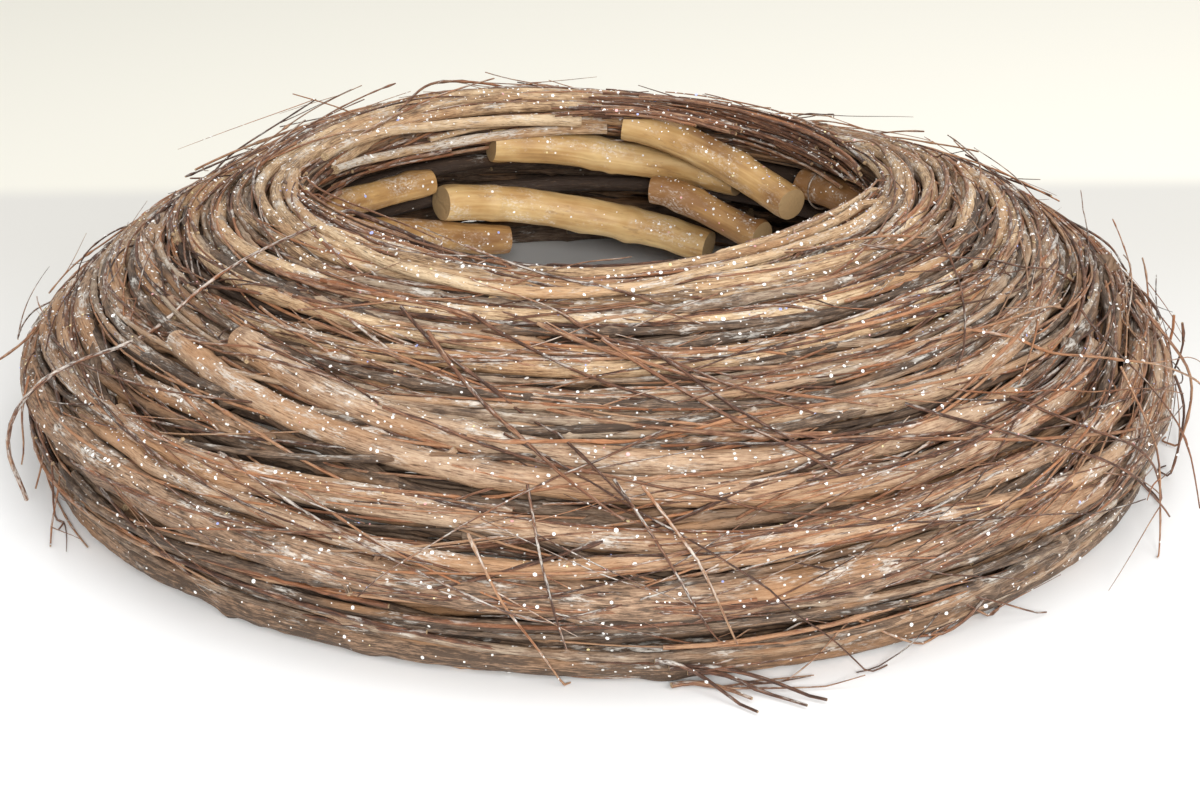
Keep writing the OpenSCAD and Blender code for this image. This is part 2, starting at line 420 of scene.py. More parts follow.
def speckle(s, rod, share):
    """White specks of glitter dust on a share of the cells of a fine pattern."""
    cells = s.node("ShaderNodeTexVoronoi", Vector=s.stretched(rod, (760, 760, 560)), Scale=1.0)
    drawn = s.node("ShaderNodeSeparateColor", Color=cells.outputs["Color"])
    spot = s.step(cells.outputs["Distance"], 0.30, 0.20)
    return s.sum("MULTIPLY", spot, s.step(drawn.outputs["Red"], 1 - share, 1.01 - share))


def bark(name, dark, mid, light, warm, grain=1.0, frosty=1.0, rough=0.60):
    """Bark that runs along its rod: fibres, shaded patches, dark cracks, frost on top and pale cut ends."""
    s = Shader(name)
    rod = s.attribute("rod").outputs["Vector"]
    tone = s.attribute("tone").outputs["Fac"]
    frost = s.attribute("frost").outputs["Fac"]
    cut = s.attribute("cut").outputs["Fac"]
    patches = s.noise(s.stretched(rod, (85, 85, 28)), 1.0, 4.0)
    mottle = s.noise(s.stretched(rod, (420, 420, 190)), 1.0, 4.0, 0.7)
    fibres = s.noise(s.stretched(rod, (1400 * grain, 1400 * grain, 75)), 1.0, 5.0, 0.72)
    threads = s.noise(s.stretched(rod, (2500 * grain, 2500 * grain, 240)), 1.0, 3.0, 0.65)
    shade = s.sum("ADD", s.about(patches, 0.9), s.about(mottle, 0.9))
    shade = s.sum("ADD", shade, s.sum("ADD", s.about(fibres, 1.0), s.about(threads, 1.3)))
    shade = s.sum("ADD", s.sum("ADD", shade, s.about(tone, 0.6)), 0.5)
    colour = s.ramp(shade, ((0.18, dark), (0.5, mid), (0.82, light)))
    warmth = s.noise(s.stretched(rod, (60, 60, 13)), 1.0, 2.0)
    glow = s.step(s.sum("ADD", warmth, s.about(tone, 0.15)), 0.46, 0.67)
    colour = s.mix(s.sum("MULTIPLY", glow, 0.6), colour, warm)
    cracks = s.step(s.sum("ADD", fibres, s.about(threads, 0.7)), 0.42, 0.33)
    colour = s.mix(s.sum("MULTIPLY", cracks, 0.6), colour, dark)
    face = s.tree.nodes.new("ShaderNodeNewGeometry")
    facing = s.node("ShaderNodeSeparateXYZ", Vector=face.outputs["Normal"])
    upward = s.step(facing.outputs["Z"], -0.5, 1.0)
    drift = s.noise(s.stretched(rod, (150, 150, 55)), 1.0, 4.0, 0.6)
    grit = s.noise(s.stretched(rod, (1700, 1700, 330)), 1.0, 4.0, 0.7)
    crust = s.sum("ADD", drift, s.sum("MULTIPLY", s.sum("ADD", upward, frost), 0.10 * frosty))
    haze = s.step(crust, 0.56, 0.84)
    white = s.sum("MULTIPLY", haze, s.step(s.sum("ADD", grit, s.sum("MULTIPLY", haze, 0.16)), 0.54, 0.68))
    colour = s.mix(s.sum("MULTIPLY", white, 0.68), colour, FROST_COLOUR)
    sparks = speckle(s, rod, 0.07 * frosty)
    colour = s.mix(s.sum("MULTIPLY", sparks, 0.9), colour, SPARK_WHITE)
    rings = s.noise(s.stretched(rod, (1500, 1500, 4)), 1.0, 2.0)
    colour = s.mix(cut, colour, s.ramp(rings, END_GRAIN))
    height = s.sum("ADD", s.sum("MULTIPLY", threads, 0.3), mottle)
    height = s.sum("ADD", s.sum("MULTIPLY", fibres, 0.5), height)
    normal = s.bump(height, 0.0010, 1.0)
    normal = s.bump(s.sum("MAXIMUM", white, sparks), 0.0003, 0.6, normal)
    roughness = s.sum("SUBTRACT", s.sum("ADD", s.about(fibres, 0.3), rough), s.sum("MULTIPLY", sparks, 0.3))
    return s.finish(colour, roughness, normal, Specular_IOR_Level=0.35)


def peeled_wood(name):
    """Smooth peeled cane: honey yellow, long faint grain, brown scars, a little frost and a thin gloss."""
    s = Shader(name)
    rod = s.attribute("rod").outputs["Vector"]
    tone = s.attribute("tone").outputs["Fac"]
    cut = s.attribute("cut").outputs["Fac"]
    grain = s.noise(s.stretched(rod, (620, 620, 16)), 1.0, 4.0)
    bloom = s.noise(s.stretched(rod, (90, 90, 34)), 1.0, 4.0)
    scars = s.noise(s.stretched(rod, (240, 240, 60)), 1.0, 5.0, 0.7)
    shade = s.sum("ADD", s.about(bloom, 1.3), s.sum("ADD", s.about(grain, 0.6), s.about(tone, 0.6)))
    shade = s.sum("ADD", shade, 0.5)
    colour = s.ramp(shade, HONEY)
    colour = s.mix(s.sum("MULTIPLY", s.step(scars, 0.58, 0.70), 0.65), colour, SCAR_BROWN)
    drift = s.noise(s.stretched(rod, (110, 110, 60)), 1.0, 4.0, 0.7)
    grit = s.noise(s.stretched(rod, (1200, 1200, 700)), 1.0, 3.0, 0.7)
    white = s.sum("MULTIPLY", s.step(drift, 0.48, 0.66), s.step(grit, 0.44, 0.62))
    colour = s.mix(s.sum("MULTIPLY", white, 0.40), colour, FROST_COLOUR)
    colour = s.mix(cut, colour, CUT_CANE)
    normal = s.bump(s.sum("ADD", grain, bloom), 0.0008, 0.5)
    normal = s.bump(white, 0.0003, 0.4, normal)
    return s.finish(colour, s.sum("ADD", s.about(grain, 0.3), 0.45), normal, Specular_IOR_Level=0.4)


def binding_wire(name):
    """Dull annealed wire with a little rust."""
    s = Shader(name)
    place = s.tree.nodes.new("ShaderNodeTexCoord").outputs["Object"]
    dull = s.noise(place, 900.0, 3.0)
    colour = s.ramp(dull, RUSTY_GREY)
    return s.finish(colour, s.sum("ADD", s.about(dull, 0.4), 0.45), s.bump(dull, 0.0001, 0.4), Metallic=0.7)


def glitter_foil(name):
    """Foil flakes: nearly all silver-white, with a few blue, red and gold ones."""
    s = Shader(name)
    tone = s.attribute("tone").outputs["Fac"]
    colour = s.ramp(tone, FOIL_COLOURS)
    colour.node.color_ramp.interpolation = "CONSTANT"
    place = s.tree.nodes.new("ShaderNodeTexCoord").outputs["Object"]
    shimmer = s.noise(place, 1800.0, 2.0)
    normal = s.bump(shimmer, 0.0001, 0.5)
    return s.finish(colour, s.sum("ADD", s.about(shimmer, 0.2), 0.28), normal, Metallic=0.15)


# Each bark: dark, middle and light shade, warm patches, fineness of grain, share of frost, roughness
ORANGE = (0.42, 0.215, 0.095)
RUST = (0.42, 0.155, 0.055)
THICK_BARK = bark("thick_bark", (0.080, 0.050, 0.032), (0.300, 0.186, 0.116), (0.50, 0.355, 0.240), ORANGE)
MEDIUM_BARK = bark(
    "medium_bark", (0.075, 0.046, 0.030), (0.285, 0.178, 0.110), (0.50, 0.360, 0.24), ORANGE, 1.2
)
RIM_BARK = bark(
    "rim_bark", (0.13, 0.074, 0.040), (0.46, 0.300, 0.170), (0.70, 0.53, 0.34), ORANGE, 1.3, 0.9, 0.52
)
TWIG_BARK = bark(
    "twig_bark", (0.052, 0.025, 0.017), (0.215, 0.098, 0.056), (0.44, 0.27, 0.16), RUST, 1.8, 1.0, 0.46
)
SWITCH_BARK = bark(
    "switch_bark", (0.065, 0.042, 0.029), (0.215, 0.142, 0.095), (0.40, 0.31, 0.225), ORANGE, 1.4
)
# Very dark bark for the rods, twigs and hoops deep inside the ring: painted shade for the dark hollow of the
# shell
HIDDEN_BARK_PAINTED_SHADE = bark(
    "hidden_bark_painted_shade", (0.040, 0.024, 0.016), (0.120, 0.076, 0.049), (0.22, 0.155, 0.108), ORANGE, frosty=0.2
)
PEELED = peeled_wood("peeled_cane")
WIRE = binding_wire("binding_wire")
FOIL = glitter_foil("glitter_foil")

# ---------------------------------------------------------------- rods


# How far the rods that the eye follows drift along the section: degrees around the ring, millimetres
DRIFTS = {
    "belt_rod_1": (
        (150, 0), (200, 6), (212, 7), (230, 3), (250, 1),
        (283, -1), (305, -1), (334, -6), (360, -4), (400, 0),
    ),
    "belt_rod_2": ((205, 3), (240, 2), (280, 0), (330, -3), (370, 0)),
    "belt_rod_3": ((150, 0), (215, 4), (250, 1), (290, -1), (335, 2), (360, 0)),
    "shoulder_rod_1": ((272, 3), (295, 2), (320, 0), (341, -2)),
    "crown_rod_1": ((211, -3), (240, -1), (270, 2), (310, 0), (360, 0)),
}


def drift(node, angle):
    """The drift of a rod along the section at these angles."""
    if node not in DRIFTS:
        return 0.0
    places, shifts = np.array(DRIFTS[node], dtype=float).T
    turned = np.degrees(angle)
    turned = np.where(turned < places[0] - 1e-6, turned + 360, turned)
    return np.interp(turned, places, shifts * MM)


def rough_shape(rng, count, sides, step, knots, size):
    """Relief of a natural rod as shares of its radius: slow lobes, uneven bark, swollen nodes and knots."""
    run = np.arange(count)[:, None] * step
    turn = np.arange(sides)[None] * TURN / sides
    relief = np.ones((count, sides))
    for lobes in (1, 2, 3):
        relief += 0.020 * np.cos(lobes * turn + rng.uniform(10, 50) * run + rng.uniform(0, TURN))
    for _ in range(16):
        wave = TURN / (rng.uniform(7, 50) * MM) * rng.choice((-1, 1))
        relief += 0.008 * np.cos(rng.integers(1, 8) * turn + wave * run + rng.uniform(0, TURN))
    for _ in range(knots):
        where, side = rng.uniform(0, count * step), rng.uniform(0, TURN)
        near = np.exp(-0.5 * ((run - where) / (size * rng.uniform(0.35, 0.9))) ** 2)
        turned = np.angle(np.exp(1j * (turn - side)))
        relief += near * (0.06 + rng.uniform(0.10, 0.26) * np.exp(-0.5 * (turned / 0.5) ** 2))
    return relief


def sunk_ends(count, step, first, last, reach=55 * MM):
    """How far each point of a rod sinks, where its first and last parts slip in under their neighbours."""
    run = np.arange(count) * step
    return first * np.clip(1 - run / reach, 0, 1) ** 2 + last * np.clip(1 - run[::-1] / reach, 0, 1) ** 2


KINK_SPACING = 60 * MM


def natural_rod(strands, node, step, sides, sway, tone, frost, knots_per_metre=16):
    """Adds a rod along its CAD centre line, with the wander, taper, knots and cut spurs of a real one."""
    rng = dice(node)
    rod = cad_rods[node]
    angle, radius, height = rod.line(step)
    count = len(angle)
    along, proud = section.find(radius, height)
    along = blurred(along, 6) + wander(rng, sway)(angle) + drift(node, angle)
    along = along + kinks(rng, count, step, KINK_SPACING, 0.5 * sway)
    proud = blurred(proud, 6) + wander(rng, 0.3 * sway)(angle)
    proud = proud + kinks(rng, count, step, KINK_SPACING, 0.2 * sway)
    if node.startswith("sweep"):
        proud = proud + 1.0 * MM - sunk_ends(count, step, 0, 5 * MM)
    else:
        proud = proud - sunk_ends(count, step, 1.3 * rod.rad, 1.3 * rod.rad)
    path = section.spot(angle, along, proud)
    thin = np.linspace(1.06, 0.86, count) if rng.random() < 0.5 else np.linspace(0.86, 1.06, count)
    rads = rod.rad * thin
    path[:, 2] = np.maximum(path[:, 2], 1.04 * rads)
    knots = int(knots_per_metre * count * step)
    relief = rough_shape(rng, count, sides, step, knots, 1.1 * rod.rad)
    strands.add(path, rads, sides, tone, frost, relief, offset=rng.uniform(0, 9))
    add_spurs(strands, rng, path, rads, max(2, knots // 3), tone)
    return angle, along, proud, rads


def add_spurs(strands, rng, path, rads, count, tone):
    """Short stubs where side twigs were cut off."""
    ahead, across, up = frames_along(path)
    for at in rng.integers(5, len(path) - 5, count):
        turn = rng.uniform(0, TURN)
        out = across[at] * math.cos(turn) + up[at] * math.sin(turn)
        lean = out + ahead[at] * rng.uniform(0.4, 1.2)
        reach = rads[at] * rng.uniform(0.35, 0.8)
        root = path[at] + out * rads[at] * 0.75
        spine = root + np.linspace(0, 1, 4)[:, None] * lean * reach
        spine[:, 2] = np.maximum(spine[:, 2], rads[at] * 0.4)
        thick = rads[at] * rng.uniform(0.16, 0.3)
        strands.add(spine, thick * np.array([1.5, 1.05, 1.0, 0.95]), 8, tone, 0.1, offset=rng.uniform(0, 9))


# Sides of a rod's mesh, its sway in millimetres and what it is made of, by the first word of its name
ROD_FORM = {
    "base": (32, 1.5, THICK_BARK, "thick_bark"),
    "belt": (32, 1.5, THICK_BARK, "thick_bark"),
    "flank": (28, 1.6, THICK_BARK, "thick_bark"),
    "sweep": (30, 0.5, THICK_BARK, "thick_bark"),
    "shoulder": (26, 1.8, MEDIUM_BARK, "medium_bark"),
    "crown": (22, 1.8, RIM_BARK, "rim_bark"),
    "rim": (20, 1.4, RIM_BARK, "rim_bark"),
    "lip": (20, 1.1, RIM_BARK, "rim_bark"),
}
# Shade of the rods that the eye picks out, from 0 for dark to 1 for light
ROD_TONES = {"sweep_rod_1": 0.7, "sweep_rod_2": 0.7, "base_rod": 0.1, "belt_rod_1": 0.35}
laid_rods = []
perches = []
bare_rods = []
for node in ROD_NODES:
    sides, sway, material, slot = ROD_FORM[node.split("_")[0]]
    piece = Strands("natural_" + node)
    tone = ROD_TONES.get(node, dice(node + " tone").uniform(0.2, 0.8))
    laid_rods.append(natural_rod(piece, node, 2 * MM, sides, sway * MM, tone, 0.5))
    if node.startswith("sweep"):
        bare_rods.append(laid_rods[-1])
    perches += piece.skins[:1]
    piece.build(material, slot, [node])


class Skin:
    """How proud the rods stand at each place on the ring, so that twigs lie on them or sink between them."""

    TURNS = 1440
    STEP = 0.5 * MM
    FLOOR = -9 * MM

    def __init__(self, rods):
        rows = int(section.length / self.STEP) + 1
        self.top = np.full((self.TURNS, rows), self.FLOOR)
        places = np.arange(rows) * self.STEP
        for angle, along, proud, rads in rods:
            turned = np.arange(math.ceil(angle[0] / TURN * self.TURNS), int(angle[-1] / TURN * self.TURNS))
            at = turned * TURN / self.TURNS
            middle, lift, rad = (np.interp(at, angle, v)[:, None] for v in (along, proud, rads))
            aside = places[None] - middle
            rise = lift + np.sqrt(np.maximum(rad**2 - aside**2, 0))
            rise[np.abs(aside) > rad] = self.FLOOR
            cells = turned % self.TURNS
            self.top[cells] = np.maximum(self.top[cells], rise)

    def at(self, angle, along):
        turned = np.round(angle / TURN * self.TURNS).astype(int) % self.TURNS
        row = np.clip(np.round(along / self.STEP).astype(int), 0, self.top.shape[1] - 1)
        return self.top[turned, row]


skin = Skin(laid_rods)

# ---------------------------------------------------------------- twigs

TWIG_STEP = 3.5 * MM


def twig_course(rng, angle, along, length, slope, way, kink=0.07):
    """Angles and places along the section of a slightly kinked twig that sets out from a start."""
    count = max(6, int(length / TWIG_STEP))
    heading = np.full(count, slope)
    for at in np.arange(0, count, max(3, int(rng.uniform(16, 36) * MM / TWIG_STEP))):
        heading[at:] += rng.normal(0, kink)
    heading = 0.6 * heading + 0.4 * slope
    low, high = 6 * MM, section.length - section.RUN_ON
    run_along = np.clip(along + np.cumsum(TWIG_STEP * np.sin(heading)), low, high)
    radius = np.interp(run_along, section.along, section.radius)
    return angle + way * np.cumsum(TWIG_STEP * np.cos(heading) / radius), run_along


def lying(angle, along, rest, stiff=2.5):
    """How proud a twig lies that bridges the rods under it, rest above or below them."""
    top = skin.at(angle, along)
    high = np.maximum.reduce([np.roll(top, k) for k in (-2, -1, 0, 1, 2)])
    high[:2], high[-2:] = high[2:3], high[-3:-2]
    return blurred(high, stiff) + rest


def hides_sweeps(angle, along):
    """Whether a twig would lie over the sweeping rods where the front leaves them bare."""
    covered = 0
    for rod_angle, rod_along, _, _ in bare_rods:
        half = len(rod_angle) // 2
        beside = np.interp(angle % TURN, rod_angle[:half], rod_along[:half], left=-1, right=-1)
        covered += np.sum(np.abs(along - beside) < 5 * MM)
    return covered > 0.2 * len(angle)


def add_twig(strands, rng, angle, along, proud, rad, tone, frost, sides=5, branches=0, tip=None):
    """Adds a tapering twig with buds, and thin side branches that lift off it."""
    path = section.spot(angle, along, proud)
    path[:, 2] = np.maximum(path[:, 2], 1.6 * rad)
    count = len(path)
    rads = rad * np.linspace(1.0, tip or rng.uniform(0.4, 0.7), count)
    for at in rng.integers(1, count - 1, max(1, count // 7)):
        rads[at] *= rng.uniform(1.15, 1.55)
    strands.add(path, rads, sides, tone, frost, offset=rng.uniform(0, 9))
    for at in rng.integers(count // 5, count - 2, branches):
        slope = rng.uniform(0.1, 0.45) * rng.choice((-1, 1))
        way = rng.choice((-1, 1)) if tip is None else np.sign(angle[-1] - angle[0])
        course, reach = twig_course(rng, angle[at], along[at], rng.uniform(18, 60) * MM, slope, way)
        rise = proud[at] + np.linspace(0, 1, len(course)) ** 1.5 * rng.uniform(0, 5) * MM
        side = np.vstack([path[at], section.spot(course, reach, rise)])
        side[:, 2] = np.maximum(side[:, 2], 1.0 * MM)
        thin = rads[at] * np.linspace(0.7, 0.3, len(side))
        strands.add(side, thin, 4, tone, frost, offset=rng.uniform(0, 9))


def fill_bundle(switches, twigs, node):
    """The loose wood where a CAD bundle lies: thicker switches, and thin twigs between and over them."""
    rng = dice(node)
    _, radius, height = cad_rods[node].line(0.02)
    along, _ = section.find(radius.mean(keepdims=True), height.mean(keepdims=True))
    for _ in range(11):
        start = rng.uniform(0, TURN), along[0] + rng.normal(0, 2.2) * MM
        length, slope, way = rng.uniform(0.3, 0.85), rng.normal(0, 0.014), rng.choice((-1, 1))
        course, run = twig_course(rng, *start, length, slope, way, 0.035)
        rad = rng.uniform(0.9, 1.8) * MM
        proud = rng.uniform(-4.0, -1.4) * MM + wander(rng, 0.5 * MM)(course)
        proud = proud - sunk_ends(len(course), TWIG_STEP, 3 * MM, 3 * MM)
        add_twig(switches, rng, course, run, proud, rad, rng.uniform(0, 1), rng.uniform(0, 1), 9)
    for _ in range(26):
        start = rng.uniform(0, TURN), along[0] + rng.normal(0, 4) * MM
        length, slope, way = rng.uniform(0.15, 0.5), rng.normal(0, 0.03), rng.choice((-1, 1))
        course, run = twig_course(rng, *start, length, slope, way)
        proud = rng.uniform(-5.0, -0.6) * MM + wander(rng, 0.6 * MM)(course)
        rad = rng.uniform(0.4, 0.85) * MM
        tone, frost, side_twigs = rng.uniform(0, 1), rng.uniform(0, 1), rng.integers(0, 2)
        add_twig(twigs, rng, course, run, proud, rad, tone, frost, 5, side_twigs)


# The pieces that stand for the CAD bundles: name, bundles that they hold
BUNDLE_GROUPS = [
    ("foot_brushwood", ["brushwood_1", "brushwood_2"]),
    ("shoulder_brushwood", ["brushwood_3", "brushwood_4", "brushwood_5"]),
    ("crown_brushwood", ["brushwood_6", "brushwood_7"]),
]
for name, nodes in BUNDLE_GROUPS:
    switches, twigs = Strands(name + "_switches"), Strands(name + "_twigs")
    for node in nodes:
        fill_bundle(switches, twigs, node)
    perches += switches.skins[::2] + twigs.skins[::5]
    switches.build(SWITCH_BARK, "twig", nodes)
    twigs.build(TWIG_BARK, "twig", nodes)

# Sheaves of loose twigs that lie over the rods: name, lowest and highest place in mm along, number and
# usual slope
TWIG_BANDS = [
    ("belt_twigs", 14, 70, 18, 0.04),
    ("shoulder_twigs", 60, 98, 32, 0.09),
    ("crown_twigs", 88, 122, 34, 0.09),
    ("rim_twigs", 114, 152, 24, 0.06),
]
for name, low, high, sheaves, slant in TWIG_BANDS:
    rng = dice(name)
    strands = Strands(name)
    for _ in range(sheaves):
        spot, place = rng.uniform(0, TURN), rng.uniform(low, high) * MM
        slope, way = rng.normal(0, slant), rng.choice((-1, 1))
        for _ in range(rng.integers(2, 6)):
            start = spot + rng.normal(0, 0.12), place + rng.normal(0, 4) * MM
            length, lean = rng.uniform(0.07, 0.36), slope + rng.normal(0, 0.3 * slant)
            course, run = twig_course(rng, *start, length, lean, way, 0.06)
            if hides_sweeps(course, run):
                continue
            rad = rng.uniform(0.32, 0.75) * MM
            proud = lying(course, run, rng.uniform(-0.8, 0.9) * rad)
            if rng.random() < 0.3:
                proud = proud + np.linspace(0, 1, len(course)) ** 4 * rng.uniform(2, 8) * MM
            frost = 1.6 if rng.random() < 0.10 else rng.uniform(0, 1)
            add_twig(strands, rng, course, run, proud, rad, rng.uniform(0, 1), frost, 6, rng.integers(0, 3))
    perches += strands.skins[::3]
    strands.build(TWIG_BARK, "twig")

# ---------------------------------------------------------------- hidden rods and peeled canes

hidden = Strands("hidden_rods")
for node in HIDDEN_NODES:
    natural_rod(hidden, node, 5 * MM, 14, 0.5 * MM, 0.4, 0.0)
rng = dice("bed of twigs")
for _ in range(330):
    start = rng.uniform(0, TURN), rng.uniform(12, 150) * MM
    course, run = twig_course(rng, *start, rng.uniform(0.3, 0.8), rng.normal(0, 0.02), rng.choice((-1, 1)))
    proud = rng.uniform(-15, -5) * MM + wander(rng, 1.0 * MM)(course)
    rad = rng.uniform(1.2, 2.3) * MM
    add_twig(hidden, rng, course, run, proud, rad, rng.uniform(0, 1), 0, 6)
# The hidden rods and the bed of twigs take the very dark bark: painted shade inside the shell
hidden.build(HIDDEN_BARK_PAINTED_SHADE, "hidden_rod", HIDDEN_NODES)


def plain_line(node, step):
    """The CAD centre line of a rod as points in space."""
    angle, radius, height = cad_rods[node].line(step)
    return np.stack([radius * np.cos(angle), radius * np.sin(angle), height], axis=1)


hoops = Strands("cane_hoops")
for node in HOOP_NODES:
    path = plain_line(node, 4 * MM)
    relief = rough_shape(dice(node), len(path), 14, 4 * MM, 8, 4 * MM)
    # Tone -0.3 and the very dark bark make the hoops darker than any rod: painted shade where they show in
    # the gaps
    hoops.add(path, np.full(len(path), cad_rods[node].rad), 14, -0.3, 0.0, relief, settle=False)
hoops.build(HIDDEN_BARK_PAINTED_SHADE, "hidden_rod", HOOP_NODES)

CANE_STEP = 1.2 * MM
# The crooked canes: how far their first end, middle and last end are lifted in millimetres, and their girth
CANE_SHAPES = {"upper_cane_1": (0, 2.5, 4.0, 1.06), "upper_cane_2": (0, 0, 0, 1.12)}
# Shade of the canes that the eye picks out, from 0 for dark to 1 for light
CANE_TONES = {
    "brace_cane": 0.0, "upper_cane_3": 0.25, "lower_cane_2": 0.05, "upper_cane_1": 0.35, "upper_cane_6": -0.8,
}
for node in CANE_NODES:
    rng = dice(node)
    cane = Strands("peeled_" + node)
    path = plain_line(node, CANE_STEP)
    count = len(path)
    path[:, 2] += kinks(rng, count, CANE_STEP, 35 * MM, 0.6 * MM)
    *lifts, girth = CANE_SHAPES.get(node, (0, 0, 0, 1))
    path[:, 2] += blurred(np.interp(np.linspace(0, 2, count), (0, 1, 2), lifts), 5) * MM
    rads = girth * cad_rods[node].rad * np.linspace(*rng.permutation((1.0, 0.92)), count)
    rads *= 1 - 0.07 * np.exp(-np.minimum(np.arange(count), np.arange(count)[::-1]) / 1.2)
    relief = 1 + 0.55 * (rough_shape(rng, count, 40, CANE_STEP, 4, 4 * MM) - 1)
    tone = CANE_TONES.get(node, rng.uniform(0.35, 0.85))
    cane.add(path, rads, 40, tone, 0.2, relief, offset=rng.uniform(0, 9), settle=False)
    perches += cane.skins[:1]
    cane.build(PEELED, "peeled_cane", [node])

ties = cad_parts["tie_wires"]
ties.data.materials.clear()
ties.data.materials.append(WIRE)

# ---------------------------------------------------------------- the lip's inner edge

# The hole's radius in mm, and where the front of the rim bulges into it: middle in degrees, depth in mm and
# width in degrees
HOLE_RADIUS = 104
RIM_BULGES = ((222, 21, 24), (313, 14, 26))
CREST = section.height.argmax()
STRAND_STEP = 2 * MM
WALL_RADIUS = 100 * MM


def spread(values, count):
    """values spread evenly over count points."""
    return np.interp(np.linspace(0, 1, count), np.linspace(0, 1, len(values)), values)


def bell(degrees, middle, width):
    """A smooth bump of height 1 over the angle."""
    return np.exp(-0.5 * ((degrees - middle) / width) ** 2)


def edge_at(degrees):
    """How far from the axis the front's inner edge lies, in mm."""
    return HOLE_RADIUS - sum(depth * bell(degrees, middle, width) for middle, depth, width in RIM_BULGES)


def lip_strand(strands, rng, first, last, share, depth, rad, tone, frost, sides=6):
    """A strand along the front of the rim, from a first to a last angle in degrees. share is 0 on the crest
    and 1 on the inner edge, depth is how far it lies below the top; its ends slip in under the crest."""
    count = int(math.radians(last - first) * section.radius[CREST] / STRAND_STEP)
    degrees = np.linspace(first, last, count)
    crest = section.radius[CREST] * (1 + wider_at(degrees))
    top = section.height[CREST] * (1 + higher_at(degrees))
    tuck = np.clip(7 * np.minimum(np.linspace(0, 1, count), np.linspace(1, 0, count)), 0, 1)
    swing = wander(rng, 0.05, 2, 8)(np.radians(degrees)) + kinks(rng, count, STRAND_STEP, 30 * MM, 0.02)
    radius = crest + (edge_at(degrees) * MM - crest) * (share + swing) * tuck
    height = top + 2 * MM * share * tuck - depth - 4 * MM * (1 - tuck)
    height = height + kinks(rng, count, STRAND_STEP, 30 * MM, 0.3 * MM)
    turn = np.radians(degrees)
    path = np.stack([radius * np.cos(turn), radius * np.sin(turn), height], axis=1)
    rads = rad * np.linspace(1.0, rng.uniform(0.5, 0.8), count)
    relief = rough_shape(rng, count, sides, STRAND_STEP, count // 30, 1.5 * MM) if sides > 10 else None
    strands.add(path, rads, sides, tone, frost, relief, offset=rng.uniform(0, 9), settle=False)


def wall_strand(strands, rng, first, last, radius, heights, rad, tone, frost, sides=6):
    """A strand that runs round inside the hole, over the peeled canes, from one height to another."""
    count = int(math.radians(last - first) * WALL_RADIUS / STRAND_STEP)
    turn = np.radians(np.linspace(first, last, count))
    radius = blurred(spread(np.atleast_1d(radius), count), 5)
    radius = radius + kinks(rng, count, STRAND_STEP, 25 * MM, 0.4 * MM)
    height = blurred(spread(heights, count), 6) + kinks(rng, count, STRAND_STEP, 25 * MM, 0.6 * MM)
    path = np.stack([radius * np.cos(turn), radius * np.sin(turn), height], axis=1)
    rads = rad * np.linspace(1.0, rng.uniform(0.5, 0.8), count)
    relief = rough_shape(rng, count, sides, STRAND_STEP, count // 25, 2 * MM) if sides > 10 else None
    strands.add(path, rads, sides, tone, frost, relief, offset=rng.uniform(0, 9), settle=False)


lip_twigs, lip_switches = Strands("lip_twigs"), Strands("lip_switches")
rng = dice("lip")
# First and last angle, range of shares, deepest place in mm, number and thickest radius in mm
for low, high, shares, deep, number, thickest in (
    (176, 264, (0.05, 1.0), 7, 50, 0.8),
    (250, 300, (0.2, 1.0), 4, 20, 0.8),
    (282, 358, (0.1, 1.0), 6, 26, 0.7),
):
    for _ in range(number):
        first = rng.uniform(low - 8, low + 30)
        last = rng.uniform(high - 30, high + 8)
        share, depth = rng.uniform(*shares), rng.uniform(0, deep) * MM
        rad = rng.uniform(0.35, thickest) * MM
        lip_strand(lip_twigs, rng, first, last, share, depth, rad, rng.uniform(0, 1), rng.uniform(0, 1.2))
# The thicker ones: angles, share, depth, radius in mm, tone and frost
for first, last, share, depth, rad, tone, frost in (
    (246, 350, 0.62, 1.5, 1.9, 0.45, 0.5),
    (285, 356, 0.95, 2.5, 1.5, 0.7, 0.4),
    (182, 250, 0.55, 2.5, 1.6, 0.6, 0.9),
    (196, 262, 0.25, 1.5, 1.9, 0.8, 0.6),
    (176, 232, 0.9, 4.0, 1.2, 0.5, 0.5),
    (296, 345, 0.3, 1.0, 1.7, 0.9, 0.5),
):
    lip_strand(lip_switches, rng, first, last, share, depth * MM, rad * MM, tone, frost, 16)
for _ in range(120):
    first = rng.uniform(-50, 190)
    level = rng.uniform(70, 84) * MM
    heights = level + rng.normal(0, 2.5, 3) * MM
    radius = rng.uniform(101, 108) * MM - 0.2 * (84 * MM - level)
    rad = rng.uniform(0.35, 1.0) * MM
    last = first + rng.uniform(15, 60)
    wall_strand(lip_twigs, rng, first, last, radius, heights, rad, rng.uniform(0, 1), rng.uniform(0, 1.2))
# The pale rods inside the far rim: angles, distance from the axis, heights along it, radius in mm, tone
# and frost
for first, last, radius, heights, rad, tone, frost in (
    (92, 168, 96.5, (78.0, 81.0, 84.5, 88.0), 2.4, 0.8, 0.8),
    (86, 160, 98.5, (74.5, 73.5, 74.0, 78.5), 2.1, 0.6, 2.0),
    (70, 128, 100.5, (77.5, 78.0, 76.5), 1.8, 0.7, 0.7),
):
    heights = np.array(heights) * MM
    wall_strand(lip_switches, rng, first, last, radius * MM, heights, rad * MM, tone, frost, 16)
